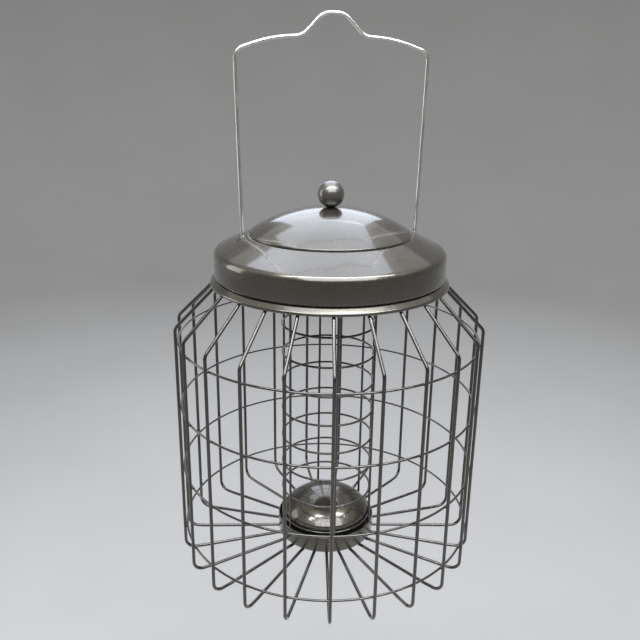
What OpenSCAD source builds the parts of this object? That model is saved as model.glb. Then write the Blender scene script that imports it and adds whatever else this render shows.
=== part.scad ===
// Caged fat-ball bird feeder with a lift-off lid.
// A coated wire cage keeps large animals away from a narrow wire basket that
// holds the food. The lid slides up the two legs of the handle for refilling.
// The origin is on the feeder's axis, level with the lowest point of the cage.
// The handle's plane is XZ.

/* [Cage] */
// Number of upright wires round the cage
cage_wire_n = 23; // [15:1:31]
// Diameter of a cage wire
cage_wire_d = 2.6; // [2:0.1:5]
// Radius from the axis to the centre of an upright wire
cage_r = 120; // [90:1:160]
// Height of the corner where the sloping shoulder meets the upright
cage_shoulder_z = 196.2; // [150:0.1:260]
// Slope of the shoulder above level, degrees
cage_shoulder_angle = 45; // [30:1:60]
// Radius from the axis to the upper end of a wire
cage_top_end_r = 78; // [70:1:90]
// Radius from the axis to the lower end of a wire
cage_low_end_r = 22; // [18:1:30]
// Radius where the floor run turns level under the cup
cage_floor_turn_r = 43; // [38:1:60]
// Bend radius of the shoulder corners
cage_bend_r = 6; // [4:0.5:12]
// Bend radius of the bottom corner
cage_foot_bend_r = 8; // [5:0.5:15]
// Turn of the first wire from the front, degrees
cage_first_turn = -8.9; // [-15:0.1:15]

/* [Cage rings] */
// Number of hoops welded inside the uprights
cage_ring_n = 4; // [2:1:6]
// Diameter of the hoop wire
cage_ring_d = 1.8; // [1.5:0.1:4]
// Height of the lowest hoop
cage_ring_first_z = 22.8; // [15:0.1:40]
// Distance from one hoop to the next
cage_ring_step = 53.9; // [30:0.1:80]

/* [Basket] */
// Number of upright wires round the basket
basket_wire_n = 6; // [4:1:10]
// Diameter of a basket upright
basket_wire_d = 2; // [1.5:0.1:3]
// Radius from the axis to the centre of a basket upright
basket_r = 38.65; // [30:0.05:50]
// Height of the lower end of a basket upright
basket_wire_low_z = 12.5; // [11:0.1:20]
// Number of hoops inside the basket uprights
basket_ring_n = 9; // [5:1:12]
// Diameter of the basket hoop wire
basket_ring_d = 1.8; // [1:0.1:2.5]
// Height of the lowest basket hoop
basket_ring_first_z = 23.6; // [20:0.1:40]
// Distance from one basket hoop to the next
basket_ring_step = 24.3; // [15:0.1:40]

/* [Top plate] */
// Thickness of the plate sheet
plate_t = 1.2; // [0.8:0.1:2]
// Height of the plate's flat underside
plate_z = 232.3; // [200:0.1:280]
// Radius of the filling hole
plate_hole_r = 36; // [32:0.5:45]
// Radius where the rim starts to slope down
plate_flat_r = 87.8; // [80:0.1:100]
// Radius of the hanging lip, at the middle of the sheet
plate_lip_r = 91.4; // [85:0.1:105]
// Drop of the sloping rim
plate_rim_drop = 3; // [2:0.1:6]
// Height of the lip's lower edge
plate_lip_z = 228.3; // [220:0.1:240]

/* [Lid] */
// Thickness of the lid sheet
lid_t = 1; // [0.6:0.1:2]
// Radius of the skirt, at the middle of the sheet
lid_skirt_r = 88.4; // [80:0.1:95]
// Height of the hem, at the middle of the sheet
lid_hem_z = 234.35; // [230:0.05:245]
// Length of the turned-in hem
lid_hem_w = 2.4; // [1.5:0.1:5]
// Height where the shoulder and the skirt would meet
lid_shoulder_z = 253.3; // [245:0.1:270]
// Rounding of the shoulder
lid_shoulder_bend_r = 5.5; // [2:0.1:8]
// Height of the ledge under the dome, at the middle of the sheet
lid_ledge_z = 264.7; // [255:0.1:280]
// Radius of the opening under the dome
lid_open_r = 56; // [45:1:60]
// Radius where the ledge turns down into the shoulder
lid_ledge_r = 62.6; // [58:0.1:70]
// Inner end of each leg slot
slot_in_r = 65.1; // [63:0.1:68]
// Outer end of each leg slot
slot_out_r = 71.6; // [70:0.1:80]
// Width of each leg slot
slot_w = 3.4; // [3:0.1:5]

/* [Dome and knob] */
// Outer radius of the dome's rim
dome_r = 62; // [55:0.1:70]
// Height of the vertical edge of the dome's rim
dome_rim_h = 1.4; // [1:0.1:4]
// Rise of the dome above its rim
dome_rise = 18.8; // [10:0.1:30]
// Radius of the knob ball
knob_r = 10; // [7:0.1:15]
// Amount taken off the ball to give it a flat seat
knob_flat = 0.5; // [0.2:0.1:2]
// Thread diameter of the knob stud
stud_d = 4; // [3:0.5:6]

/* [Base] */
// Thickness of the base sheet
base_t = 1; // [0.6:0.1:2]
// Radius of the cup wall, at the middle of the sheet
cup_r = 40.12; // [35:0.01:50]
// Height of the cup's underside
cup_z = 6.2; // [6:0.1:15]
// Height of the cup's rim
cup_rim_z = 21.3; // [18:0.1:35]
// Rounding of the cup's bottom edge
cup_bend_r = 2.5; // [1.5:0.1:6]
// Outer radius of the domed floor
floor_r = 35.4; // [30:0.1:36]
// Outer radius of the ball that the floor's dome is part of
floor_ball_r = 47.5; // [36:0.5:100]
// Height of the floor's top
floor_top_z = 43.8; // [30:0.1:60]
// Radius of the flat head of the base bolt
bolt_head_r = 6; // [4:0.1:12]
// Thread diameter of the base bolt
bolt_d = 4; // [3:0.5:6]
// Radius of the disc under the cage floor
hub_r = 30; // [26:0.5:34]

/* [Handle] */
// Diameter of the handle wire
handle_d = 2.6; // [2:0.1:4]
// Half the distance between the legs at the plate
handle_low_x = 66.1; // [60:0.1:75]
// Half the distance between the legs at the top
handle_high_x = 69.8; // [60:0.1:80]
// Height of the corner at the top of each leg
handle_corner_z = 395.8; // [350:0.1:450]
// Half the distance between the easy bends of the top run
easy_bend_x = 43.5; // [35:0.5:55]
// Height of the easy bends
easy_bend_z = 404.7; // [360:0.1:450]
// Half the width of the raised crown at its foot
crown_foot_x = 22.5; // [15:0.5:35]
// Height of the crown's foot
crown_foot_z = 405.6; // [380:0.1:450]
// Half the width of the crown at its top
crown_top_x = 7.5; // [5:0.5:20]
// Height of the crown's top
crown_top_z = 421; // [400:0.1:470]
// Width of the hook under the plate, from wire centre to wire centre
hook_w = 8.7; // [8:0.1:14]
// Depth of the hook below the plate's underside
hook_depth = 7.9; // [6:0.1:12]

/* [Hidden] */
$fn = 64;

// Sink of one welded piece into the next
weld = 0.03;
// Depth to which crossing wires are pressed together
cross_weld = 0.05;
// Clearance between a thread and the nut or ball it screws into
thread_fit = 0.03;
// Clearance round a thread in a plain hole
thread_gap = 0.15;
// Clearance round a handle leg in the plate
leg_gap = 0.4;
// Length by which a cut runs past a face
cut = 1;

cage_wire_r = cage_wire_d / 2;
cage_pitch = 360 / cage_wire_n;
cage_top_end_z = plate_z - cage_wire_r + weld;
cage_floor_z = cup_z - cage_wire_r + weld;
cage_floor_bend_r = 15;
cage_shoulder_run = (cage_top_end_z - cage_shoulder_z) / tan(cage_shoulder_angle);
cage_ring_r = cage_r - cage_wire_r - cage_ring_d / 2 + cross_weld;

basket_ring_r = basket_r - basket_wire_d / 2 - basket_ring_d / 2 + cross_weld;

plate_mid_z = plate_z + plate_t / 2;
plate_bend_r = 2;
plate_lip_bend_r = 1.2;
leg_hole_r = handle_d / 2 + leg_gap;

lid_ledge_bend_r = 2;
lid_hem_bend_r = 1.5;

dome_rim_z = lid_ledge_z + lid_t / 2;
dome_top_z = dome_rim_z + dome_rim_h + dome_rise;
dome_ball_r = (pow(dome_r, 2) + pow(dome_rise, 2)) / (2 * dome_rise);

knob_seat_gap = 0.05;
knob_base_z = dome_top_z + knob_seat_gap;
knob_z = knob_base_z + knob_r - knob_flat;
stud_r = stud_d / 2;
knob_washer_r = 6;
knob_washer_t = 1;
knob_washer_gap = 0.2;
knob_washer_z = dome_top_z - lid_t - knob_washer_t - knob_washer_gap;
knob_nut_h = 3.2;
knob_nut_flats = 7;
stud_tail = 1;
stud_reach = 3;
stud_low_z = knob_washer_z - knob_nut_h - stud_tail;
stud_high_z = knob_z + stud_reach;
knob_bore_spare = 0.5;

cup_mid_z = cup_z + base_t / 2;
cup_floor_z = cup_z + base_t;
bolt_r = bolt_d / 2;
bolt_head_t = 1.2;
bolt_head_chamfer = 0.4;
hub_t = 0.8;
hub_z = cage_floor_z - cage_wire_r + weld - hub_t;
base_washer_r = 4;
base_washer_t = 0.5;
base_washer_z = hub_z - base_washer_t;
base_nut_h = 2.2;
base_nut_flats = 7;
base_nut_z = base_washer_z - base_nut_h;

handle_bend_r = 8;
easy_bend_r = 105;
crown_foot_bend_r = 12;
crown_top_bend_r = 13;
hook_bend_r = 4;
hook_z = plate_z - hook_depth;
leg_hole_x = leg_x(plate_mid_z);

hex_sides = 6;

// Depth to which a straight run is tucked into a bend, and the bend's extra radius
bend_tuck = 0.25;
bend_swell = 0.02;
// Flats in the section of a sheet's bend
sheet_bend_steps = 8;

gunmetal = [0.22, 0.21, 0.19];
bright_steel = [0.78, 0.78, 0.76];
zinc = [0.62, 0.63, 0.64];

// A cage wire, from its upper end under the plate to its lower end under the cup.
// Each point is [distance from the axis, height, bend radius].
cage_wire_path = [
    [cage_top_end_r, cage_top_end_z, 0],
    [cage_r - cage_shoulder_run, cage_top_end_z, cage_bend_r],
    [cage_r, cage_shoulder_z, cage_bend_r],
    [cage_r, cage_wire_r, cage_foot_bend_r],
    [cage_r - 2 * cage_foot_bend_r, cage_wire_r, cage_floor_bend_r],
    [cage_floor_turn_r, cage_floor_z, cage_floor_bend_r],
    [cage_low_end_r, cage_floor_z, 0],
];

// One half of the handle, from the hook's tip to the crown.
handle_half_path = [
    [-handle_low_x + hook_w, plate_z + weld, 0],
    [-handle_low_x + hook_w, hook_z, hook_bend_r],
    [-handle_low_x, hook_z, hook_bend_r],
    [-handle_high_x, handle_corner_z, handle_bend_r],
    [-easy_bend_x, easy_bend_z, easy_bend_r],
    [-crown_foot_x, crown_foot_z, crown_foot_bend_r],
    [-crown_top_x, crown_top_z, crown_top_bend_r],
];
handle_half_n = len(handle_half_path);
handle_path = concat(
    handle_half_path,
    [for (i = [handle_half_n - 1:-1:0])
        [-handle_half_path[i][0], handle_half_path[i][1], handle_half_path[i][2]]]
);

plate_path = [
    [plate_hole_r, plate_mid_z, 0],
    [plate_flat_r, plate_mid_z, plate_bend_r],
    [plate_lip_r, plate_mid_z - plate_rim_drop, plate_lip_bend_r],
    [plate_lip_r, plate_lip_z, 0],
];

lid_path = [
    [lid_open_r, lid_ledge_z, 0],
    [lid_ledge_r, lid_ledge_z, lid_ledge_bend_r],
    [lid_skirt_r, lid_shoulder_z, lid_shoulder_bend_r],
    [lid_skirt_r, lid_hem_z, lid_hem_bend_r],
    [lid_skirt_r - lid_hem_w, lid_hem_z, 0],
];

cup_path = [
    [bolt_r + thread_gap, cup_mid_z, 0],
    [cup_r, cup_mid_z, cup_bend_r],
    [cup_r, cup_rim_z, 0],
];

// Distance of a handle leg from the axis at a given height
function leg_x(z) =
    handle_low_x + (handle_high_x - handle_low_x) * (z - hook_z) / (handle_corner_z - hook_z);

// Helpers for a path of straight runs joined by bends
function xy(p) = [p[0], p[1]];
function heading(path, i) = let (d = xy(path[i + 1]) - xy(path[i])) d / norm(d);
function bearing(path, i) = let (d = heading(path, i)) atan2(d[1], d[0]);
function turn(path, i) =
    let (a = heading(path, i - 1), b = heading(path, i)) atan2(cross(a, b), a * b);
function trim(path, i) =
    (i == 0 || i == len(path) - 1) ? 0 : path[i][2] * tan(abs(turn(path, i)) / 2);
function run_start(path, i) = xy(path[i]) + heading(path, i) * trim(path, i);
function run_length(path, i) =
    norm(xy(path[i + 1]) - xy(path[i])) - trim(path, i) - trim(path, i + 1);
function bend_centre(path, i) =
    let (a = heading(path, i - 1), s = sign(turn(path, i)))
    xy(path[i]) - a * trim(path, i) + s * path[i][2] * [-a[1], a[0]];
function bend_first(path, i) = bearing(path, i - 1) - sign(turn(path, i)) * 90;

// The points of a line that follows a path at a distance to its left
function side_end(path, i, run, off) =
    let (h = heading(path, run)) [xy(path[i]) + off * [-h[1], h[0]]];
function side_bend(path, i, off) =
    let (c = bend_centre(path, i), r = path[i][2] - sign(turn(path, i)) * off)
    [for (k = [0:sheet_bend_steps])
        let (a = bend_first(path, i) + turn(path, i) * k / sheet_bend_steps)
        c + r * [cos(a), sin(a)]];
function side(path, off) =
    [for (i = [0:len(path) - 1])
        each i == 0 ? side_end(path, i, 0, off)
            : i == len(path) - 1 ? side_end(path, i, i - 1, off)
            : side_bend(path, i, off)];
function reversed(points) = [for (i = [len(points) - 1:-1:0]) points[i]];

// A round wire bent along a path in the XZ plane. The straight runs are tucked
// a little way into the bends, which are drawn a hair thicker.
module bent_wire(path, wire_r) {
    last = len(path) - 2;
    rotate([90, 0, 0]) {
        for (i = [0:last]) {
            start = run_start(path, i);
            tuck = i > 0 ? bend_tuck : 0;
            tucks = tuck + (i < last ? bend_tuck : 0);
            translate([start[0], start[1], 0])
                rotate([0, 90, bearing(path, i)])
                    translate([0, 0, -tuck])
                        cylinder(h = run_length(path, i) + tucks, r = wire_r);
        }
        for (i = [1:last]) {
            centre = bend_centre(path, i);
            translate([centre[0], centre[1], 0])
                rotate([0, 0, bend_first(path, i) + min(0, turn(path, i))])
                    rotate_extrude(angle = abs(turn(path, i)))
                        translate([path[i][2], 0]) circle(r = wire_r + bend_swell);
        }
    }
}

// The section of a sheet of even thickness that follows a path
module sheet_section(path, thick) {
    polygon(concat(side(path, thick / 2), reversed(side(path, -thick / 2))));
}

// A hoop of round wire
module hoop(radius, wire_r, z) {
    translate([0, 0, z])
        rotate_extrude() translate([radius, 0]) circle(r = wire_r);
}

// A hexagonal nut
module nut(flats, height, hole_r, z) {
    translate([0, 0, z]) difference() {
        cylinder(h = height, r = flats / 2 / cos(180 / hex_sides), $fn = hex_sides);
        translate([0, 0, -cut]) cylinder(h = height + 2 * cut, r = hole_r);
    }
}

// A plain washer
module washer(radius, height, hole_r, z) {
    translate([0, 0, z]) difference() {
        cylinder(h = height, r = radius);
        translate([0, 0, -cut]) cylinder(h = height + 2 * cut, r = hole_r);
    }
}

module handle_wire() {
    color(bright_steel) bent_wire(handle_path, handle_d / 2);
}

// A round-ended slot along X, cut through the lid on one side
module leg_slot(side) {
    slot_r = slot_w / 2;
    translate([0, 0, lid_hem_z]) linear_extrude(lid_ledge_z - lid_hem_z + lid_t) {
        translate([side * (slot_in_r + slot_r), 0]) circle(r = slot_r);
        translate([side * (slot_out_r - slot_r), 0]) circle(r = slot_r);
        translate([side * (slot_in_r + slot_out_r) / 2, 0])
            square([slot_out_r - slot_in_r - slot_w, slot_w], center = true);
    }
}

module lid_shell() {
    color(gunmetal) difference() {
        rotate_extrude() sheet_section(lid_path, lid_t);
        leg_slot(1);
        leg_slot(-1);
    }
}

// A ball with a given top, cut to a round plug from a given height upwards
module ball_plug(top_z, ball_r, plug_r, low_z) {
    intersection() {
        translate([0, 0, top_z - ball_r]) sphere(r = ball_r);
        translate([0, 0, low_z]) cylinder(h = top_z - low_z + cut, r = plug_r);
    }
}

// A domed cap of even thickness with an upright wall, open below
module domed_cap(top_z, ball_r, cap_r, low_z, thick) {
    difference() {
        ball_plug(top_z, ball_r, cap_r, low_z);
        ball_plug(top_z - thick, ball_r - thick, cap_r - thick, low_z - cut);
    }
}

module lid_dome() {
    color(gunmetal) difference() {
        domed_cap(dome_top_z, dome_ball_r, dome_r, dome_rim_z, lid_t);
        translate([0, 0, dome_rim_z])
            cylinder(h = dome_top_z - dome_rim_z + cut, r = stud_r + thread_gap);
    }
}

module knob_ball() {
    color(gunmetal) difference() {
        translate([0, 0, knob_z]) sphere(r = knob_r);
        translate([0, 0, knob_base_z - knob_flat - cut])
            cylinder(h = knob_flat + cut, r = knob_r);
        translate([0, 0, knob_base_z - cut])
            cylinder(h = stud_high_z + knob_bore_spare - knob_base_z + cut, r = stud_r + thread_fit);
    }
}

module knob_stud() {
    color(zinc) translate([0, 0, stud_low_z]) cylinder(h = stud_high_z - stud_low_z, r = stud_r);
}

module knob_washer() {
    color(zinc) washer(knob_washer_r, knob_washer_t, stud_r + thread_gap, knob_washer_z);
}

module knob_nut() {
    color(zinc) nut(knob_nut_flats, knob_nut_h, stud_r + thread_fit, knob_washer_z - knob_nut_h);
}

module top_plate() {
    color(gunmetal) difference() {
        rotate_extrude() sheet_section(plate_path, plate_t);
        for (side = [-1, 1])
            translate([side * leg_hole_x, 0, plate_z - cut])
                cylinder(h = plate_t + 2 * cut, r = leg_hole_r);
    }
}

module cage_wire(i) {
    color(gunmetal)
        rotate([0, 0, -90 + cage_first_turn + i * cage_pitch])
            bent_wire(cage_wire_path, cage_wire_r);
}

module cage_ring(i) {
    color(gunmetal) hoop(cage_ring_r, cage_ring_d / 2, cage_ring_first_z + i * cage_ring_step);
}

module basket_wire(i) {
    color(gunmetal)
        rotate([0, 0, -90 + i * 360 / basket_wire_n])
            translate([basket_r, 0, basket_wire_low_z])
                cylinder(h = plate_z + weld - basket_wire_low_z, r = basket_wire_d / 2);
}

module basket_ring(i) {
    color(gunmetal)
        hoop(basket_ring_r, basket_ring_d / 2, basket_ring_first_z + i * basket_ring_step);
}

module base_cup() {
    color(gunmetal) rotate_extrude() sheet_section(cup_path, base_t);
}

module base_insert() {
    color(gunmetal) domed_cap(floor_top_z, floor_ball_r, floor_r, cup_floor_z - weld, base_t);
}

module base_bolt() {
    color(gunmetal) union() {
        translate([0, 0, base_nut_z]) cylinder(h = cup_floor_z - base_nut_z + weld, r = bolt_r);
        translate([0, 0, cup_floor_z]) {
            cylinder(h = bolt_head_t - bolt_head_chamfer, r = bolt_head_r);
            translate([0, 0, bolt_head_t - bolt_head_chamfer])
                cylinder(
                    h = bolt_head_chamfer,
                    r1 = bolt_head_r,
                    r2 = bolt_head_r - bolt_head_chamfer
                );
        }
    }
}

module hub_disc() {
    color(gunmetal) washer(hub_r, hub_t, bolt_r + thread_gap, hub_z);
}

module base_washer() {
    color(zinc) washer(base_washer_r, base_washer_t, bolt_r + thread_gap, base_washer_z);
}

module base_nut() {
    color(zinc) nut(base_nut_flats, base_nut_h, bolt_r + thread_fit, base_nut_z);
}

handle_wire();
lid_shell();
lid_dome();
knob_ball();
knob_stud();
knob_washer();
knob_nut();
top_plate();
cage_wire(0);  // cage_wire_01
cage_wire(1);  // cage_wire_02
cage_wire(2);  // cage_wire_03
cage_wire(3);  // cage_wire_04
cage_wire(4);  // cage_wire_05
cage_wire(5);  // cage_wire_06
cage_wire(6);  // cage_wire_07
cage_wire(7);  // cage_wire_08
cage_wire(8);  // cage_wire_09
cage_wire(9);  // cage_wire_10
cage_wire(10);  // cage_wire_11
cage_wire(11);  // cage_wire_12
cage_wire(12);  // cage_wire_13
cage_wire(13);  // cage_wire_14
cage_wire(14);  // cage_wire_15
cage_wire(15);  // cage_wire_16
cage_wire(16);  // cage_wire_17
cage_wire(17);  // cage_wire_18
cage_wire(18);  // cage_wire_19
cage_wire(19);  // cage_wire_20
cage_wire(20);  // cage_wire_21
cage_wire(21);  // cage_wire_22
cage_wire(22);  // cage_wire_23
cage_ring(0);  // cage_ring_1
cage_ring(1);  // cage_ring_2
cage_ring(2);  // cage_ring_3
cage_ring(3);  // cage_ring_4
basket_wire(0);  // basket_wire_1
basket_wire(1);  // basket_wire_2
basket_wire(2);  // basket_wire_3
basket_wire(3);  // basket_wire_4
basket_wire(4);  // basket_wire_5
basket_wire(5);  // basket_wire_6
basket_ring(0);  // basket_ring_1
basket_ring(1);  // basket_ring_2
basket_ring(2);  // basket_ring_3
basket_ring(3);  // basket_ring_4
basket_ring(4);  // basket_ring_5
basket_ring(5);  // basket_ring_6
basket_ring(6);  // basket_ring_7
basket_ring(7);  // basket_ring_8
basket_ring(8);  // basket_ring_9
base_cup();
base_insert();
base_bolt();
hub_disc();
base_washer();
base_nut();
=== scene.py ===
from math import asin, atan2, cos, hypot, pi, radians, sin, tan

import bmesh
import bpy
from mathutils import Matrix, Vector


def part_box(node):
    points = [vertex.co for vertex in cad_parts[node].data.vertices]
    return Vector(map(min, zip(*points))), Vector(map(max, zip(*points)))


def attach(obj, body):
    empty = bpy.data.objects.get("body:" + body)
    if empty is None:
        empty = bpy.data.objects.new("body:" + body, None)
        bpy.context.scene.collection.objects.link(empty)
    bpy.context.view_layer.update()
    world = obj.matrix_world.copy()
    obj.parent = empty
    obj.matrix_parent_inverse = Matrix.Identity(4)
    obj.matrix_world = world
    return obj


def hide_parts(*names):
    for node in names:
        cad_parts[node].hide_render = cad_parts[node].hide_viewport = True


# A caged fat-ball feeder. Every CAD node is replaced by a detailed mesh of the same size:
# wires swept round their bends with weld beads, sheets spun from bent sections, threaded fasteners.
# The frame is the CAD's: metres, +Z up, the axis of the cage on Z, the handle in the XZ plane.

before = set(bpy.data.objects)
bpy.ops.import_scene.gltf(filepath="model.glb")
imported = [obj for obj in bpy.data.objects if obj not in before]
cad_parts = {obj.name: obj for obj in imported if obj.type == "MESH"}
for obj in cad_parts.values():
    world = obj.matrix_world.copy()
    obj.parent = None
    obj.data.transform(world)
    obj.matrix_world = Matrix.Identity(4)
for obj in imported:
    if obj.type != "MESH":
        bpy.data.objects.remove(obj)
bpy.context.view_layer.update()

MM = 0.001
ROOT = "feeder"
LID = "lid"


# ------------------------------------------------------------------ sizes

def low(node):
    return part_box(node)[0]


def high(node):
    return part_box(node)[1]


# Cage
CAGE_WIRE_N = 23
CAGE_WIRE_R = 1.3 * MM
CAGE_R = 120 * MM
CAGE_PITCH = 2 * pi / CAGE_WIRE_N
CAGE_FIRST_ANGLE = radians(-90 - 8.9)
CAGE_TOP_END_R = 78 * MM
CAGE_LOW_END_R = 22 * MM
CAGE_FLOOR_TURN_R = 43 * MM
CAGE_SHOULDER_Z = 196.2 * MM
CAGE_BEND_R = 6 * MM
CAGE_FOOT_BEND_R = 8 * MM
CAGE_FLOOR_BEND_R = 15 * MM
CAGE_FLOOR_Z = low("base_cup").z - CAGE_WIRE_R
CAGE_RING_N = 4

# Basket
BASKET_WIRE_N = 6
BASKET_RING_N = 9
BASKET_WIRE_R = 1.0 * MM
BASKET_R = 38.65 * MM

# Top plate
PLATE_T = 1.2 * MM
PLATE_TOP_Z = high("top_plate").z
PLATE_MID_Z = PLATE_TOP_Z - PLATE_T / 2
PLATE_LOW_Z = PLATE_TOP_Z - PLATE_T
PLATE_LIP_Z = low("top_plate").z
PLATE_HOLE_R = 36 * MM
PLATE_FLAT_R = 87.8 * MM
PLATE_LIP_R = high("top_plate").x - PLATE_T / 2
PLATE_RIM_DROP = 3 * MM
CAGE_TOP_END_Z = PLATE_LOW_Z - CAGE_WIRE_R

# Lid
SHEET_T = 1 * MM
LID_SKIRT_R = high("lid_shell").x - SHEET_T / 2
LID_LOW_Z = low("lid_shell").z
LID_HEM_Z = LID_LOW_Z + SHEET_T / 2
LID_LEDGE_Z = high("lid_shell").z - SHEET_T / 2
LID_HEM_W = 2.4 * MM
LID_SHOULDER_Z = 253.3 * MM
LID_LEDGE_R = 62.6 * MM
LID_OPEN_R = 56 * MM
SLOT_IN_R = 65.1 * MM
SLOT_OUT_R = 71.6 * MM
SLOT_W = 3.4 * MM

# Dome and knob
DOME_R = high("lid_dome").x
DOME_RIM_Z = low("lid_dome").z
DOME_RIM_H = 1.4 * MM
DOME_TOP_Z = high("lid_dome").z
KNOB_R = high("knob_ball").x
KNOB_Z = high("knob_ball").z - KNOB_R
KNOB_SEAT_Z = low("knob_ball").z
STUD_R = high("knob_stud").x

# Base
CUP_R = high("base_cup").x - SHEET_T / 2
CUP_RIM_Z = high("base_cup").z
FLOOR_R = high("base_insert").x
FLOOR_TOP_Z = high("base_insert").z
FLOOR_BALL_R = 47.5 * MM
BOLT_R = 2 * MM
BOLT_HOLE_R = 2.15 * MM

# Handle
HANDLE_R = 1.3 * MM
HANDLE_LOW_X = 66.1 * MM
HANDLE_HIGH_X = 69.8 * MM
HANDLE_CORNER_Z = 395.8 * MM
HOOK_W = 8.7 * MM
HOOK_Z = low("handle_wire").z + HANDLE_R
EASY_BEND_X = 43.5 * MM
EASY_BEND_Z = 404.7 * MM
CROWN_FOOT_X = 22.5 * MM
CROWN_FOOT_Z = 405.6 * MM
CROWN_TOP_X = 7.5 * MM
CROWN_TOP_Z = high("handle_wire").z - HANDLE_R


# ------------------------------------------------------------------ shapes

class Shape:
    """Vertices and faces of one piece, gathered from several closed parts."""

    def __init__(self):
        self.verts = []
        self.faces = []

    def add(self, verts, faces):
        start = len(self.verts)
        self.verts.extend(verts)
        self.faces.extend(tuple(start + i for i in face) for face in faces)
        return self


def rounded_line(corners, steps=10):
    """Points along straight runs joined by arcs. A corner is (across, up, bend radius)."""
    line = []
    last = len(corners) - 1
    for i, (across, up, bend) in enumerate(corners):
        corner = Vector((across, up))
        if i in (0, last) or bend == 0:
            line.append(corner)
            continue
        back = (Vector(corners[i - 1][:2]) - corner).normalized()
        on = (Vector(corners[i + 1][:2]) - corner).normalized()
        turn = pi - back.angle(on)
        side = 1 if back.x * on.y - back.y * on.x < 0 else -1
        start = corner + back * bend * tan(turn / 2)
        centre = corner + (back + on).normalized() * bend / cos(turn / 2)
        for k in range(steps + 1):
            spoke = start - centre
            spoke.rotate(Matrix.Rotation(side * turn * k / steps, 2))
            line.append(centre + spoke)
    return line


def tangents(line, closed=False):
    """The unit direction of a line at each of its points."""
    n = len(line)
    found = []
    for i in range(n):
        before = line[(i - 1) % n] if closed or i > 0 else line[i]
        after = line[(i + 1) % n] if closed or i < n - 1 else line[i]
        found.append((after - before).normalized())
    return found


def tube(line, radius, plane_normal, sides=16, end_cut=0.3):
    """An open round wire along a line in one plane, with slightly rounded cut ends."""
    along = tangents(line)
    rings = [(p, t, radius) for p, t in zip(line, along)]
    cut = end_cut * radius
    first, last = rings[0], rings[-1]
    rings[0] = (first[0] + first[1] * cut, first[1], radius)
    rings[-1] = (last[0] - last[1] * cut, last[1], radius)
    rings.insert(0, (first[0], first[1], radius - cut))
    rings.append((last[0], last[1], radius - cut))
    verts = []
    for centre, direction, r in rings:
        across = plane_normal.cross(direction)
        for k in range(sides):
            a = 2 * pi * k / sides
            verts.append(centre + across * r * cos(a) + plane_normal * r * sin(a))
    faces = []
    for i in range(len(rings) - 1):
        for k in range(sides):
            m = (k + 1) % sides
            faces.append((i * sides + k, (i + 1) * sides + k, (i + 1) * sides + m, i * sides + m))
    top = (len(rings) - 1) * sides
    faces.append(tuple(range(sides)))
    faces.append(tuple(top + k for k in reversed(range(sides))))
    return verts, faces


def hoop(radius, wire_r, z, segments=184, sides=14):
    """A closed hoop of round wire round the axis."""
    verts = []
    for i in range(segments):
        a = 2 * pi * i / segments
        for k in range(sides):
            b = 2 * pi * k / sides
            r = radius + wire_r * cos(b)
            verts.append(Vector((r * cos(a), r * sin(a), z + wire_r * sin(b))))
    faces = []
    for i in range(segments):
        j = (i + 1) % segments
        for k in range(sides):
            m = (k + 1) % sides
            faces.append((i * sides + k, j * sides + k, j * sides + m, i * sides + m))
    return verts, faces


def unit_ball(subdivisions=2):
    bm = bmesh.new()
    bmesh.ops.create_icosphere(bm, subdivisions=subdivisions, radius=1)
    verts = [v.co.copy() for v in bm.verts]
    faces = [tuple(v.index for v in f.verts) for f in bm.faces]
    bm.free()
    return verts, faces


BALL = unit_ball()


def bead(radius, angle, z, size):
    """A weld bead at a point, given by its distance from the axis, its angle and its height.
    size is its half thickness outward, sideways and upward."""
    turn = Matrix.Rotation(angle, 4, "Z")
    place = turn @ Matrix.Translation((radius, 0, z)) @ Matrix.Diagonal((*size, 1))
    return [place @ v for v in BALL[0]], BALL[1]


def bent_section(corners, thickness, steps=10, edge_steps=5):
    """The closed outline of a bent sheet's section, with rounded edges."""
    line = rounded_line(corners, steps)
    along = tangents(line)
    half = thickness / 2
    line[0] = line[0] + along[0] * half
    line[-1] = line[-1] - along[-1] * half
    left = [p + Vector((-t.y, t.x)) * half for p, t in zip(line, along)]
    right = [p - Vector((-t.y, t.x)) * half for p, t in zip(line, along)]

    def edge(centre, direction):
        start = atan2(direction.x, -direction.y)
        return [
            centre + half * Vector((cos(start - pi * k / edge_steps), sin(start - pi * k / edge_steps)))
            for k in range(1, edge_steps)
        ]

    return left + edge(line[-1], along[-1]) + right[::-1] + edge(line[0], -along[0])


def spin(section, segments=192, closed=True, wave=None):
    """A section of (distance from the axis, height) points spun round the axis.
    wave(angle, r, z) gives a small change of height, as pressed sheet has."""
    n = len(section)
    verts = []
    for i in range(segments):
        a = 2 * pi * i / segments
        for p in section:
            lift = wave(a, p[0], p[1]) if wave else 0
            verts.append(Vector((p[0] * cos(a), p[0] * sin(a), p[1] + lift)))
    faces = []
    for i in range(segments):
        j = (i + 1) % segments
        for k in range(n if closed else n - 1):
            m = (k + 1) % n
            faces.append((i * n + k, j * n + k, j * n + m, i * n + m))
    return verts, faces


def loft(rings, segments=72):
    """A closed body whose rings give (r, z) as functions of the angle. The first ring follows the last."""
    n = len(rings)
    verts = []
    for i in range(segments):
        a = 2 * pi * i / segments
        for ring in rings:
            r, z = ring(a)
            verts.append(Vector((r * cos(a), r * sin(a), z)))
    faces = []
    for i in range(segments):
        j = (i + 1) % segments
        for k in range(n):
            m = (k + 1) % n
            faces.append((i * n + k, j * n + k, j * n + m, i * n + m))
    return verts, faces


# ------------------------------------------------------------------ pieces

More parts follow.
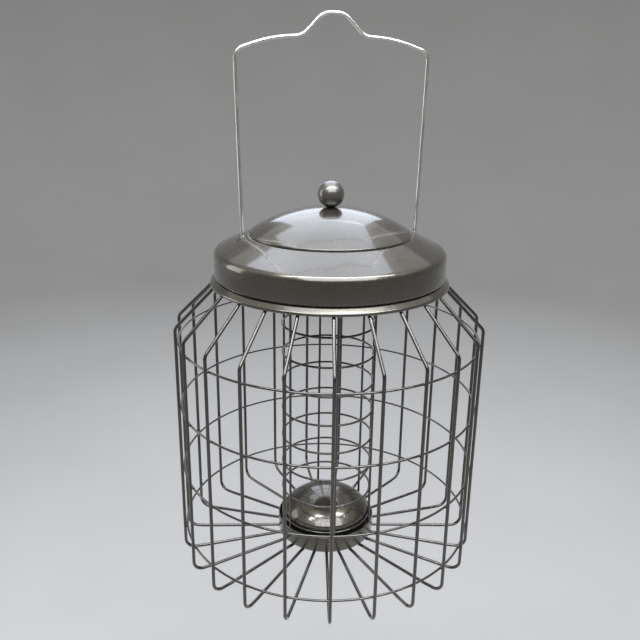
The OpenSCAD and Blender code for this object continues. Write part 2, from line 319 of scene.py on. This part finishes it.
def make_object(name, shape, sharp_angle=40, merge=1e-7):
    """A mesh object from a shape, with outward faces, smooth except at sharp corners."""
    mesh = bpy.data.meshes.new(name)
    mesh.from_pydata([tuple(v) for v in shape.verts], [], shape.faces)
    bm = bmesh.new()
    bm.from_mesh(mesh)
    bmesh.ops.remove_doubles(bm, verts=bm.verts, dist=merge)
    bmesh.ops.recalc_face_normals(bm, faces=bm.faces)
    bm.to_mesh(mesh)
    bm.free()
    mesh.shade_smooth()
    mesh.set_sharp_from_angle(angle=radians(sharp_angle))
    obj = bpy.data.objects.new(name, mesh)
    bpy.context.scene.collection.objects.link(obj)
    return obj


def piece(obj, body, node, material):
    """Hands a finished object to the frame in place of its CAD node."""
    obj.data.materials.clear()
    obj.data.materials.append(material)
    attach(obj, body)
    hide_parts(node)
    return obj


def cut(obj, cutter):
    """Cuts a closed cutter out of obj and removes the cutter."""
    modifier = obj.modifiers.new("cut", "BOOLEAN")
    modifier.object = cutter
    modifier.operation = "DIFFERENCE"
    modifier.solver = "MANIFOLD"
    graph = bpy.context.evaluated_depsgraph_get()
    made = bpy.data.meshes.new_from_object(obj.evaluated_get(graph))
    obj.modifiers.clear()
    old = obj.data
    obj.data = made
    bpy.data.meshes.remove(old)
    bpy.data.objects.remove(cutter)


def spread(obj, name, value):
    """Writes value(point) on every vertex, as a number that the material reads."""
    mesh = obj.data
    attribute = mesh.attributes.new(name, "FLOAT", "POINT")
    attribute.data.foreach_set("value", [value(v.co) for v in mesh.vertices])


def bump_near(distance, reach):
    """1 at no distance, falling to 0 at reach."""
    return max(0.0, 1 - abs(distance) / reach) ** 2


# ------------------------------------------------------------------ materials

class Nodes:
    """A short way to write a material's node tree."""

    def __init__(self, name):
        self.material = bpy.data.materials.new(name)
        self.material.use_nodes = True
        self.tree = self.material.node_tree
        self.shader = self.tree.nodes["Principled BSDF"]

    def node(self, kind, **values):
        made = self.tree.nodes.new(kind)
        for key, value in values.items():
            setattr(made, key, value)
        return made

    def link(self, source, target):
        self.tree.links.new(source, target)

    def points(self):
        return self.node("ShaderNodeTexCoord").outputs["Object"]

    def attribute(self, name):
        return self.node("ShaderNodeAttribute", attribute_name=name)

    def stretched(self, vector, scale):
        made = self.node("ShaderNodeMapping")
        self.link(vector, made.inputs["Vector"])
        made.inputs["Scale"].default_value = scale
        return made.outputs["Vector"]

    def noise(self, vector, scale, detail=3, roughness=0.5):
        made = self.node("ShaderNodeTexNoise")
        self.link(vector, made.inputs["Vector"])
        made.inputs["Scale"].default_value = scale
        made.inputs["Detail"].default_value = detail
        made.inputs["Roughness"].default_value = roughness
        return made.outputs["Fac"]

    def flakes(self, vector, scale):
        made = self.node("ShaderNodeTexVoronoi")
        self.link(vector, made.inputs["Vector"])
        made.inputs["Scale"].default_value = scale
        return made.outputs["Color"]

    def between(self, value, low_in, high_in, low_out=0.0, high_out=1.0):
        made = self.node("ShaderNodeMapRange")
        self.link(value, made.inputs["Value"])
        for key, number in zip(("From Min", "From Max", "To Min", "To Max"),
                               (low_in, high_in, low_out, high_out)):
            made.inputs[key].default_value = number
        return made.outputs["Result"]

    def maths(self, operation, a, b):
        made = self.node("ShaderNodeMath", operation=operation)
        for socket, value in zip(made.inputs, (a, b)):
            if isinstance(value, (int, float)):
                socket.default_value = value
            else:
                self.link(value, socket)
        return made.outputs["Value"]

    def mix(self, share, a, b):
        made = self.node("ShaderNodeMix", data_type="RGBA")
        self.link(share, made.inputs[0])
        for socket, value in zip(made.inputs[6:8], (a, b)):
            if isinstance(value, tuple):
                socket.default_value = (*value, 1)
            else:
                self.link(value, socket)
        return made.outputs[2]

    def bump(self, height, depth, normal=None):
        made = self.node("ShaderNodeBump")
        self.link(height, made.inputs["Height"])
        made.inputs["Strength"].default_value = 1
        made.inputs["Distance"].default_value = depth
        if normal:
            self.link(normal, made.inputs["Normal"])
        return made.outputs["Normal"]

    def up_facing(self):
        split = self.node("ShaderNodeSeparateXYZ")
        self.link(self.node("ShaderNodeNewGeometry").outputs["Normal"], split.inputs[0])
        return split.outputs["Z"]

    def set(self, **values):
        for key, value in values.items():
            socket = self.shader.inputs[key.replace("_", " ")]
            if isinstance(value, bpy.types.NodeSocket):
                self.link(value, socket)
            else:
                socket.default_value = value


def gunmetal(name, dark, light, metallic, roughness, coat_roughness, peel, flake=0.0, dust=0.0,
             coat=1.0):
    """A warm dark metallic coat under clear gloss: tone drift, flakes, orange peel, rubbed edges, dust.
    The attribute rub is 1 where the coat is rubbed."""
    n = Nodes(name)
    points = n.points()
    tone = n.between(n.noise(points, 28, 4), 0.35, 0.65)
    colour = n.mix(tone, dark, light)
    if flake:
        sparkle = n.node("ShaderNodeSeparateColor")
        n.link(n.flakes(points, 5200), sparkle.inputs[0])
        glint = n.between(sparkle.outputs[0], 0.82, 1.0, 0.0, flake)
        colour = n.mix(glint, colour, tuple(3.2 * c for c in light))
    rub = n.attribute("rub").outputs["Fac"]
    scuff = n.maths("MULTIPLY", rub, n.between(n.noise(points, 900, 5, 0.7), 0.45, 0.62))
    colour = n.mix(scuff, colour, (0.34, 0.33, 0.31))
    grain = n.between(n.noise(points, 160, 5, 0.6), 0.3, 0.7, roughness - 0.05, roughness + 0.07)
    if dust:
        specks = n.between(n.noise(points, 1300, 2, 0.4), 0.66, 0.74)
        patches = n.between(n.noise(points, 60, 3), 0.42, 0.7)
        lying = n.between(n.up_facing(), 0.5, 0.95)
        share = n.maths("MULTIPLY", n.maths("MULTIPLY", specks, patches), lying)
        share = n.maths("MULTIPLY", share, dust)
        colour = n.mix(share, colour, (0.30, 0.28, 0.22))
        grain = n.maths("ADD", grain, n.maths("MULTIPLY", share, 0.4))
    skin = n.bump(n.noise(points, 420, 2, 0.4), peel)
    skin = n.bump(n.noise(points, 70, 2, 0.5), 2.2 * peel, skin)
    n.set(Base_Color=colour, Metallic=metallic, Roughness=grain, Normal=skin)
    n.set(Coat_Weight=coat, Coat_Roughness=coat_roughness, Coat_IOR=1.55)
    return n.material


def bright_steel(name):
    """Drawn wire: streaks along its length, faint tarnish, a soft sheen. The attribute drawn holds
    the wire's own coordinates, as if it were straight."""
    n = Nodes(name)
    drawn = n.attribute("drawn").outputs["Vector"]
    streaks = n.noise(n.stretched(drawn, (1, 1, 0.012)), 4200, 4, 0.6)
    blotch = n.noise(n.stretched(drawn, (1, 1, 0.35)), 160, 4, 0.6)
    colour = n.mix(n.between(streaks, 0.3, 0.7), (0.60, 0.59, 0.56), (0.86, 0.85, 0.81))
    colour = n.mix(n.between(blotch, 0.56, 0.8, 0, 0.75), colour, (0.42, 0.38, 0.31))
    rough = n.maths("ADD", n.between(streaks, 0.3, 0.7, 0.16, 0.3), n.between(blotch, 0.5, 0.8, 0, 0.22))
    n.set(Base_Color=colour, Metallic=1.0, Roughness=rough, Normal=n.bump(streaks, 0.02 * MM))
    return n.material


def zinc_plate(name):
    """Bright zinc: fine crystals, a bluish cast with faint yellow."""
    n = Nodes(name)
    points = n.points()
    cast = n.between(n.noise(points, 260, 4, 0.6), 0.4, 0.65)
    colour = n.mix(cast, (0.58, 0.60, 0.62), (0.68, 0.66, 0.58))
    crystal = n.node("ShaderNodeSeparateColor")
    n.link(n.flakes(points, 2600), crystal.inputs[0])
    rough = n.between(crystal.outputs[0], 0, 1, 0.24, 0.38)
    skin = n.bump(n.noise(points, 1800, 3), 0.02 * MM)
    n.set(Base_Color=colour, Metallic=1.0, Roughness=rough, Normal=skin)
    return n.material


SHEET_COAT = gunmetal("gunmetal_sheet_coat", (0.074, 0.065, 0.051), (0.088, 0.079, 0.064),
                      metallic=0.8, roughness=0.27, coat_roughness=0.08, peel=0.005 * MM,
                      flake=0.12, dust=0.25)
KNOB_COAT = gunmetal("gunmetal_knob_coat", (0.090, 0.084, 0.074), (0.114, 0.107, 0.096),
                     metallic=0.75, roughness=0.34, coat_roughness=0.14, peel=0.008 * MM,
                     flake=0.15, dust=0.2)
WIRE_COAT = gunmetal("gunmetal_wire_coat", (0.044, 0.039, 0.032), (0.058, 0.053, 0.044),
                     metallic=0.8, roughness=0.2, coat_roughness=0.03, peel=0.0015 * MM)
BOLT_COAT = gunmetal("gunmetal_bolt_coat", (0.040, 0.036, 0.030), (0.052, 0.047, 0.040),
                     metallic=0.5, roughness=0.5, coat_roughness=0.4, peel=0.008 * MM, coat=0.3)
BRIGHT_WIRE = bright_steel("bright_drawn_wire")
ZINC = zinc_plate("bright_zinc")


# ------------------------------------------------------------------ cage

def cage_angle(i):
    return CAGE_FIRST_ANGLE + i * CAGE_PITCH


def outward(angle):
    return Vector((cos(angle), sin(angle), 0))


def make_cage_wire(i):
    """One upright: along the plate, down the shoulder and the side, in along the floor."""
    run = (CAGE_TOP_END_Z - CAGE_SHOULDER_Z) / tan(radians(45))
    line = rounded_line([
        (CAGE_TOP_END_R, CAGE_TOP_END_Z, 0),
        (CAGE_R - run, CAGE_TOP_END_Z, CAGE_BEND_R),
        (CAGE_R, CAGE_SHOULDER_Z, CAGE_BEND_R),
        (CAGE_R, CAGE_WIRE_R, CAGE_FOOT_BEND_R),
        (CAGE_R - 2 * CAGE_FOOT_BEND_R, CAGE_WIRE_R, CAGE_FLOOR_BEND_R),
        (CAGE_FLOOR_TURN_R, CAGE_FLOOR_Z, CAGE_FLOOR_BEND_R),
        (CAGE_LOW_END_R, CAGE_FLOOR_Z, 0),
    ], steps=12)
    angle = cage_angle(i)
    radial = outward(angle)
    sideways = Vector((-sin(angle), cos(angle), 0))
    shape = Shape().add(*tube([radial * p.x + Vector((0, 0, p.y)) for p in line], CAGE_WIRE_R, sideways))
    foot = (2.2 * MM, 1.5 * MM, 0.5 * MM)
    shape.add(*bead(CAGE_TOP_END_R + 4 * MM, angle, PLATE_LOW_Z - 0.2 * MM, foot))
    shape.add(*bead(CUP_R - 8 * MM, angle, CAGE_FLOOR_Z + CAGE_WIRE_R - 0.2 * MM, foot))
    node = f"cage_wire_{i + 1:02d}"
    obj = make_object(f"{node}_coated", shape)
    spread(obj, "rub", lambda p: 0.8 * bump_near(p.z, 1.2 * MM))
    piece(obj, ROOT, node, WIRE_COAT)


def make_cage_ring(i):
    """A hoop inside the uprights, with a weld bead at each crossing."""
    node = f"cage_ring_{i + 1}"
    wire_r = (high(node).z - low(node).z) / 2
    radius = high(node).x - wire_r
    z = (high(node).z + low(node).z) / 2
    shape = Shape().add(*hoop(radius, wire_r, z))
    for k in range(CAGE_WIRE_N):
        shape.add(*bead(radius + wire_r, cage_angle(k), z, (0.7 * MM, 1.7 * MM, 1.35 * MM)))
    obj = make_object(f"{node}_coated", shape)
    piece(obj, ROOT, node, WIRE_COAT)


# ------------------------------------------------------------------ basket

def basket_angle(i):
    return radians(-90) + i * 2 * pi / BASKET_WIRE_N


def make_basket_wire(i):
    """A straight upright from inside the cup to the plate."""
    node = f"basket_wire_{i + 1}"
    angle = basket_angle(i)
    foot = outward(angle) * BASKET_R
    z_low, z_high = low(node).z, PLATE_LOW_Z
    line = [foot + Vector((0, 0, z)) for z in (z_low, (z_low + z_high) / 2, z_high)]
    sideways = Vector((-sin(angle), cos(angle), 0))
    shape = Shape().add(*tube(line, BASKET_WIRE_R, sideways))
    shape.add(*bead(BASKET_R, angle, z_high - 0.2 * MM, (1.5 * MM, 1.5 * MM, 0.5 * MM)))
    shape.add(*bead(BASKET_R + BASKET_WIRE_R, angle, z_low + 6 * MM, (0.5 * MM, 1.2 * MM, 2 * MM)))
    obj = make_object(f"{node}_coated", shape)
    piece(obj, ROOT, node, WIRE_COAT)


def make_basket_ring(i):
    """A hoop inside the basket's uprights, with a weld bead at each crossing."""
    node = f"basket_ring_{i + 1}"
    wire_r = (high(node).z - low(node).z) / 2
    radius = high(node).x - wire_r
    z = (high(node).z + low(node).z) / 2
    shape = Shape().add(*hoop(radius, wire_r, z, segments=96, sides=12))
    for k in range(BASKET_WIRE_N):
        shape.add(*bead(radius + wire_r, basket_angle(k), z, (0.5 * MM, 1.2 * MM, 1.0 * MM)))
    obj = make_object(f"{node}_coated", shape)
    piece(obj, ROOT, node, WIRE_COAT)


# ------------------------------------------------------------------ top plate and lid

def post(x, y, radius, z_low, z_high, segments=40):
    """A round cutter."""
    section = [Vector((0, z_low)), Vector((radius, z_low)), Vector((radius, z_high)), Vector((0, z_high))]
    verts, faces = spin(section, segments, closed=False)
    return [v + Vector((x, y, 0)) for v in verts], faces


def make_top_plate():
    """The plate that closes the cage: filling hole, two leg holes, sloping rim and hanging lip."""
    section = bent_section([
        (PLATE_HOLE_R, PLATE_MID_Z, 0),
        (PLATE_FLAT_R, PLATE_MID_Z, 2 * MM),
        (PLATE_LIP_R, PLATE_MID_Z - PLATE_RIM_DROP, 1.2 * MM),
        (PLATE_LIP_R, PLATE_LIP_Z, 0),
    ], PLATE_T)
    obj = make_object("top_plate_coated", Shape().add(*spin(section)))
    share = (PLATE_MID_Z - HOOK_Z) / (HANDLE_CORNER_Z - HOOK_Z)
    hole_x = HANDLE_LOW_X + (HANDLE_HIGH_X - HANDLE_LOW_X) * share
    for side in (-1, 1):
        shape = Shape().add(*post(side * hole_x, 0, 1.7 * MM, PLATE_LOW_Z - MM, PLATE_TOP_Z + MM))
        cut(obj, make_object("leg_hole", shape))
    obj.data.set_sharp_from_angle(angle=radians(40))
    spread(obj, "rub", lambda p: max(
        bump_near(hypot(abs(p.x) - hole_x, p.y) - 1.7 * MM, 2 * MM),
        0.6 * bump_near(p.z - PLATE_LIP_Z, 0.8 * MM),
        0.5 * bump_near(hypot(p.x, p.y) - PLATE_HOLE_R, 1.2 * MM)))
    piece(obj, ROOT, "top_plate", SHEET_COAT)


def slot_cutter(side):
    """A round-ended cutter along X through one side of the lid."""
    half_w = SLOT_W / 2
    ends = (SLOT_IN_R + half_w, SLOT_OUT_R - half_w)
    outline = []
    steps = 16
    for centre, start in ((ends[1], -pi / 2), (ends[0], pi / 2)):
        for k in range(steps + 1):
            a = start + pi * k / steps
            outline.append(Vector((side * (centre + half_w * cos(a)), half_w * sin(a))))
    n = len(outline)
    verts = [Vector((p.x, p.y, z)) for z in (LID_HEM_Z + 4 * MM, LID_LEDGE_Z + 4 * MM) for p in outline]
    faces = [(k, (k + 1) % n, n + (k + 1) % n, n + k) for k in range(n)]
    faces += [tuple(range(n)), tuple(range(2 * n - 1, n - 1, -1))]
    return verts, faces


def pressed_wave(angle, r, z):
    """The faint waviness of pressed sheet."""
    return 0.05 * MM * (sin(3 * angle + 0.7) + 0.6 * sin(7 * angle + 40 * r / CAGE_R)) * min(1, r / DOME_R)


def make_lid_shell():
    """The lid's skirt, shoulder and ledge in one sheet, with a turned-in hem and two leg slots."""
    section = bent_section([
        (LID_OPEN_R, LID_LEDGE_Z, 0),
        (LID_LEDGE_R, LID_LEDGE_Z, 2 * MM),
        ((LID_LEDGE_R + LID_SKIRT_R) / 2, (LID_LEDGE_Z + LID_SHOULDER_Z) / 2, 0),
        (LID_SKIRT_R, LID_SHOULDER_Z, 5.5 * MM),
        (LID_SKIRT_R, (LID_SHOULDER_Z + LID_HEM_Z) / 2, 0),
        (LID_SKIRT_R, LID_HEM_Z, 1.5 * MM),
        (LID_SKIRT_R - LID_HEM_W, LID_HEM_Z, 0),
    ], SHEET_T)
    obj = make_object("lid_shell_coated", Shape().add(*spin(section, wave=pressed_wave)))
    for side in (-1, 1):
        cut(obj, make_object("leg_slot", Shape().add(*slot_cutter(side))))
    obj.data.set_sharp_from_angle(angle=radians(40))

    def rub(p):
        mid = (SLOT_IN_R + SLOT_OUT_R) / 2
        half = (SLOT_OUT_R - SLOT_IN_R - SLOT_W) / 2
        past = max(0.0, abs(abs(p.x) - mid) - half)
        return max(bump_near(hypot(past, p.y) - SLOT_W / 2, 1.6 * MM),
                   0.5 * bump_near(p.z - LID_LOW_Z, 0.5 * MM))

    spread(obj, "rub", rub)
    piece(obj, LID, "lid_shell", SHEET_COAT)


def make_lid_dome():
    """The shallow dome with its rolled foot, bored for the stud."""
    rise = DOME_TOP_Z - DOME_RIM_Z - DOME_RIM_H
    ball_r = (DOME_R ** 2 + rise ** 2) / (2 * rise)
    centre_z = DOME_TOP_Z - ball_r
    edge_angle = atan2(DOME_R, ball_r - rise)
    steps = 40
    hole = STUD_R + 0.15 * MM
    hole_angle = atan2(hole, ball_r)

    def arc(radius, start, end):
        return [Vector((radius * sin(start + (end - start) * k / steps),
                        centre_z + radius * cos(start + (end - start) * k / steps)))
                for k in range(steps + 1)]

    soft = 0.45 * MM
    outer = arc(ball_r, hole_angle, edge_angle - 0.011)
    rim = rounded_line([
        (outer[-1].x, outer[-1].y, 0),
        (DOME_R, DOME_RIM_Z + DOME_RIM_H, 0.9 * MM),
        (DOME_R, DOME_RIM_Z, soft),
        (DOME_R - SHEET_T, DOME_RIM_Z, 0.3 * MM),
        (DOME_R - SHEET_T, DOME_RIM_Z + DOME_RIM_H - 0.3 * MM, 0),
    ], steps=6)
    inner = arc(ball_r - SHEET_T, edge_angle - 0.014, hole_angle)
    shape = Shape().add(*spin(outer + rim[1:] + inner, wave=pressed_wave))
    obj = make_object("lid_dome_coated", shape)
    spread(obj, "rub", lambda p: 0.35 * bump_near(p.z - DOME_RIM_Z, 0.5 * MM))
    piece(obj, LID, "lid_dome", SHEET_COAT)


def make_knob_ball():
    """The ball knob with a flat, slightly rounded seat."""
    seat_angle = pi - atan2((KNOB_R ** 2 - (KNOB_Z - KNOB_SEAT_Z) ** 2) ** 0.5, KNOB_Z - KNOB_SEAT_Z)
    steps = 48
    arc = [Vector((KNOB_R * sin(seat_angle * k / steps), KNOB_Z + KNOB_R * cos(seat_angle * k / steps)))
           for k in range(steps + 1)]
    seat_r = arc[-1].x
    under = rounded_line([
        (arc[-2].x, arc[-2].y, 0),
        (seat_r, KNOB_SEAT_Z, 0.2 * MM),
        (STUD_R + 0.03 * MM, KNOB_SEAT_Z, 0),
        (STUD_R + 0.03 * MM, KNOB_Z + 3.5 * MM, 0),
        (0, KNOB_Z + 3.5 * MM, 0),
    ], steps=4)
    shape = Shape().add(*spin(arc[:-1] + under[1:], segments=96, closed=False))
    obj = make_object("knob_ball_coated", shape)
    spread(obj, "rub", lambda p: 0.5 * bump_near(p.z - KNOB_SEAT_Z, 0.6 * MM))
    piece(obj, LID, "knob_ball", KNOB_COAT)


# ------------------------------------------------------------------ fasteners

def thread_section(radius, pitch, depth, z_low, z_high):
    """Rings of a threaded rod, with chamfered ends, as functions of the angle."""
    steps = max(2, int((z_high - z_low) / (pitch / 8)))
    rings = [lambda a: (0, z_low)]

    def ring(z):
        def at(a):
            turn = (z / pitch - a / (2 * pi)) % 1
            groove = depth * (1 - abs(2 * turn - 1))
            chamfer = max(0.0, depth - min(z - z_low, z_high - z))
            return radius - max(groove, chamfer), z
        return at

    rings += [ring(z_low + (z_high - z_low) * k / steps) for k in range(steps + 1)]
    rings.append(lambda a: (0, z_high))
    return rings


def round_rings(line):
    """The points of a line as round rings for a rod."""
    return [(lambda r, z: lambda a: (r, z))(p.x, p.y) for p in line]


def make_rod(rings, segments=36):
    """A solid body from rings that start and end on the axis."""
    verts, faces = loft(rings, segments)
    n = len(rings)
    return verts, [f for f in faces if not (f[0] % n == n - 1)]


def make_knob_stud():
    z_low, z_high = low("knob_stud").z, high("knob_stud").z
    shape = Shape().add(*make_rod(thread_section(STUD_R, 0.7 * MM, 0.3 * MM, z_low, z_high)))
    obj = make_object("knob_stud_threaded", shape, sharp_angle=70)
    piece(obj, LID, "knob_stud", ZINC)


def hex_nut(node, flats, hole_r):
    """A hexagonal nut with both faces chamfered and its hole countersunk."""
    z_low, z_high = low(node).z, high(node).z
    face_r = 0.97 * flats / 2

    def hex_r(a):
        return flats / 2 / cos((a % (pi / 3)) - pi / 6)

    def corner(z_face, inward):
        return lambda a: (hex_r(a), z_face + inward * max(0, hex_r(a) - face_r) * tan(radians(30)))

    def round_ring(r, z):
        return lambda a: (r, z)

    sink = 0.35 * MM
    rings = [
        round_ring(hole_r + sink, z_low), round_ring(face_r, z_low), corner(z_low, 1),
        corner(z_high, -1), round_ring(face_r, z_high), round_ring(hole_r + sink, z_high),
        round_ring(hole_r, z_high - sink), round_ring(hole_r, z_low + sink),
    ]
    return loft(rings, 96)


def make_nut(node, body, flats, hole_r):
    obj = make_object(f"{node}_plated", Shape().add(*hex_nut(node, flats, hole_r)), sharp_angle=25)
    piece(obj, body, node, ZINC)


def flat_ring(node, hole_r, soft):
    """A flat ring with softened edges, such as a washer."""
    z_low, z_high, r = low(node).z, high(node).z, high(node).x
    corners = [(hole_r, z_low), (r, z_low), (r, z_high), (hole_r, z_high)]
    section = []
    for i, (x, z) in enumerate(corners):
        before, after = corners[i - 1], corners[(i + 1) % 4]
        section += rounded_line([(*before, 0), (x, z, soft), (*after, 0)], steps=4)[1:-1]
    return spin(section, 96)


def make_washer(node, body, hole_r):
    obj = make_object(f"{node}_plated", Shape().add(*flat_ring(node, hole_r, 0.15 * MM)))
    piece(obj, body, node, ZINC)


# ------------------------------------------------------------------ base

def make_base_cup():
    """The shallow cup under the basket."""
    floor_z = low("base_cup").z + SHEET_T / 2
    section = bent_section([
        (BOLT_HOLE_R, floor_z, 0),
        (CUP_R, floor_z, 2.5 * MM),
        (CUP_R, CUP_RIM_Z, 0),
    ], SHEET_T)
    obj = make_object("base_cup_coated", Shape().add(*spin(section)))
    spread(obj, "rub", lambda p: 0.6 * bump_near(p.z - CUP_RIM_Z, 0.5 * MM))
    piece(obj, ROOT, "base_cup", SHEET_COAT)


def make_base_insert():
    """The domed floor on which the food stands, with its upright wall."""
    ball_centre_z = FLOOR_TOP_Z - FLOOR_BALL_R
    foot_z = low("base_insert").z
    steps = 48

    def side_line(ball_r, wall_r, bend):
        """One face of the sheet from the axis over the dome and down the wall."""
        edge = asin(wall_r / ball_r)
        dome = [(ball_r * sin(edge * k / steps), ball_centre_z + ball_r * cos(edge * k / steps), 0)
                for k in range(steps - 2)]
        corner = (wall_r, ball_centre_z + ball_r * cos(edge), bend)
        return rounded_line(dome + [corner, (wall_r, foot_z, 0)], steps=8)

    outer = side_line(FLOOR_BALL_R, FLOOR_R, 2 * MM)
    inner = side_line(FLOOR_BALL_R - SHEET_T, FLOOR_R - SHEET_T, 1 * MM)
    rings = round_rings(outer + inner[::-1])
    obj = make_object("base_insert_coated", Shape().add(*make_rod(rings, 144)))
    piece(obj, ROOT, "base_insert", SHEET_COAT)


def make_base_bolt():
    """The flat-headed bolt through the base, threaded at its lower end."""
    z_low, z_high = low("base_bolt").z, high("base_bolt").z
    head_r = high("base_bolt").x
    head_z = low("base_cup").z + SHEET_T
    thread_top = z_low + 5 * MM
    rings = thread_section(BOLT_R, 0.7 * MM, 0.3 * MM, z_low, thread_top)[:-1]
    outline = rounded_line([
        (BOLT_R, thread_top, 0),
        (BOLT_R, head_z, 0),
        (head_r, head_z, 0.1 * MM),
        (head_r, z_high, 0.35 * MM),
        (0, z_high, 0),
    ], steps=5)
    rings += round_rings(outline)
    shape = Shape().add(*make_rod(rings, 72))
    obj = make_object("base_bolt_coated", shape)
    piece(obj, ROOT, "base_bolt", BOLT_COAT)


def make_hub_disc():
    """The disc that clamps the cage wires under the cup."""
    obj = make_object("hub_disc_coated", Shape().add(*flat_ring("hub_disc", BOLT_HOLE_R, 0.3 * MM)))
    piece(obj, ROOT, "hub_disc", SHEET_COAT)


# ------------------------------------------------------------------ handle

def make_handle():
    """The bent wire handle: a hook under the plate, a leg, the top run and the raised crown, twice."""
    half = [
        (-HANDLE_LOW_X + HOOK_W, PLATE_LOW_Z, 0),
        (-HANDLE_LOW_X + HOOK_W, HOOK_Z, 4 * MM),
        (-HANDLE_LOW_X, HOOK_Z, 4 * MM),
        (-HANDLE_HIGH_X, HANDLE_CORNER_Z, 8 * MM),
        (-EASY_BEND_X, EASY_BEND_Z, 105 * MM),
        (-CROWN_FOOT_X, CROWN_FOOT_Z, 12 * MM),
        (-CROWN_TOP_X, CROWN_TOP_Z, 13 * MM),
    ]
    corners = half + [(-x, z, r) for x, z, r in reversed(half)]
    flat = rounded_line(corners, steps=16)
    line = [Vector((p.x, 0, p.y)) for p in flat]
    sides = 20
    verts, faces = tube(line, HANDLE_R, Vector((0, -1, 0)), sides=sides)
    shape = Shape().add(verts, faces)
    obj = make_object("handle_wire_drawn", shape, merge=0)
    write_drawn(obj, sides)
    piece(obj, ROOT, "handle_wire", BRIGHT_WIRE)


def write_drawn(obj, sides):
    """The wire's own coordinates on each vertex, as if it were straight."""
    mesh = obj.data
    rings = len(mesh.vertices) // sides
    centres = [sum((mesh.vertices[i * sides + k].co for k in range(sides)), Vector()) / sides
               for i in range(rings)]
    values = []
    length = 0.0
    for i in range(rings):
        if i:
            length += (centres[i] - centres[i - 1]).length
        for k in range(sides):
            a = 2 * pi * k / sides
            values += [HANDLE_R * cos(a), HANDLE_R * sin(a), length]
    mesh.attributes.new("drawn", "FLOAT_VECTOR", "POINT").data.foreach_set("vector", values)


# ------------------------------------------------------------------ stage, light and camera

def make_stage():
    """A pale floor that curves up into a round wall. The feeder hangs above it."""
    floor_z = -0.42
    section = rounded_line([(0, floor_z, 0), (3.4, floor_z, 1.1), (3.4, floor_z + 2.6, 0)], steps=24)
    verts, faces = spin(section, 96, closed=False)
    obj = make_object("studio_floor", Shape().add(verts, faces))
    obj.data.flip_normals()
    n = Nodes("studio_paper")
    tone = n.between(n.noise(n.points(), 3, 3), 0.3, 0.7)
    n.set(Base_Color=n.mix(tone, (0.385, 0.38, 0.37), (0.405, 0.40, 0.39)), Roughness=0.9)
    obj.data.materials.append(n.material)


def soft_box(name, place, aim, size, radiance, colour=(1, 1, 1)):
    light = bpy.data.lights.new(name, "AREA")
    light.shape = "RECTANGLE"
    light.size, light.size_y = size
    light.energy = radiance * pi * size[0] * size[1]
    light.color = colour
    obj = bpy.data.objects.new(name, light)
    obj.location = place
    obj.rotation_mode = "QUATERNION"
    obj.rotation_quaternion = (Vector(aim) - Vector(place)).to_track_quat("-Z", "Y")
    bpy.context.scene.collection.objects.link(obj)


def make_lights():
    """A pale even room, large panels above and behind, a strong narrow strip above the front,
    and a tall panel at the left."""
    world = bpy.data.worlds.new("studio")
    world.use_nodes = True
    world.node_tree.nodes["Background"].inputs["Color"].default_value = (1.0, 0.99, 0.97, 1)
    world.node_tree.nodes["Background"].inputs["Strength"].default_value = 0.62
    bpy.context.scene.world = world
    middle = (0, 0, 0.2)
    soft_box("overhead", (0.05, 0.25, 1.4), (0.05, 0.25, 0), (1.2, 1.9), 2.6, (0.76, 0.84, 1.0))
    soft_box("back_panel", (0.25, 1.45, 1.1), middle, (1.0, 0.9), 2.2, (0.80, 0.87, 1.0))
    soft_box("front_strip", (0.0, -0.36, 1.38), middle, (2.0, 0.16), 20)
    soft_box("front_sky", (0.0, -0.98, 1.3), middle, (1.7, 0.8), 5.2, (0.90, 0.94, 1.0))
    soft_box("left_panel", (-0.95, 0.35, 0.41), (0, 0, 0.41), (0.4, 0.66), 2.4)


def make_camera():
    """A little left of the front, looking down on the feeder."""
    place = Vector((-106.2, -546.1, 383.6)) * MM
    heading = radians(10.28)
    pitch = radians(18.70)
    roll = 0.0131
    forward = Vector((sin(heading) * cos(pitch), cos(heading) * cos(pitch), -sin(pitch)))
    right = forward.cross(Vector((0, 0, 1))).normalized()
    up = right.cross(forward)
    across = cos(roll) * right + sin(roll) * up
    upright = -sin(roll) * right + cos(roll) * up
    camera = bpy.data.objects.new("camera", bpy.data.cameras.new("camera"))
    camera.data.lens = 41.68
    camera.data.sensor_width = 36
    camera.data.clip_start = 0.01
    camera.matrix_world = Matrix((
        (across.x, upright.x, -forward.x, place.x),
        (across.y, upright.y, -forward.y, place.y),
        (across.z, upright.z, -forward.z, place.z),
        (0, 0, 0, 1),
    ))
    bpy.context.scene.collection.objects.link(camera)
    bpy.context.scene.camera = camera


# ------------------------------------------------------------------ the whole

make_camera()
make_lights()
make_stage()
bpy.context.scene.view_settings.view_transform = "Standard"

for i in range(CAGE_WIRE_N):
    make_cage_wire(i)
for i in range(CAGE_RING_N):
    make_cage_ring(i)
for i in range(BASKET_WIRE_N):
    make_basket_wire(i)
for i in range(BASKET_RING_N):
    make_basket_ring(i)
make_top_plate()
make_lid_shell()
make_lid_dome()
make_knob_ball()
make_knob_stud()
make_washer("knob_washer", LID, STUD_R + 0.15 * MM)
make_nut("knob_nut", LID, 7 * MM, STUD_R + 0.03 * MM)
make_base_cup()
make_base_insert()
make_base_bolt()
make_hub_disc()
make_washer("base_washer", ROOT, BOLT_HOLE_R)
make_nut("base_nut", ROOT, 7 * MM, BOLT_R + 0.03 * MM)
make_handle()
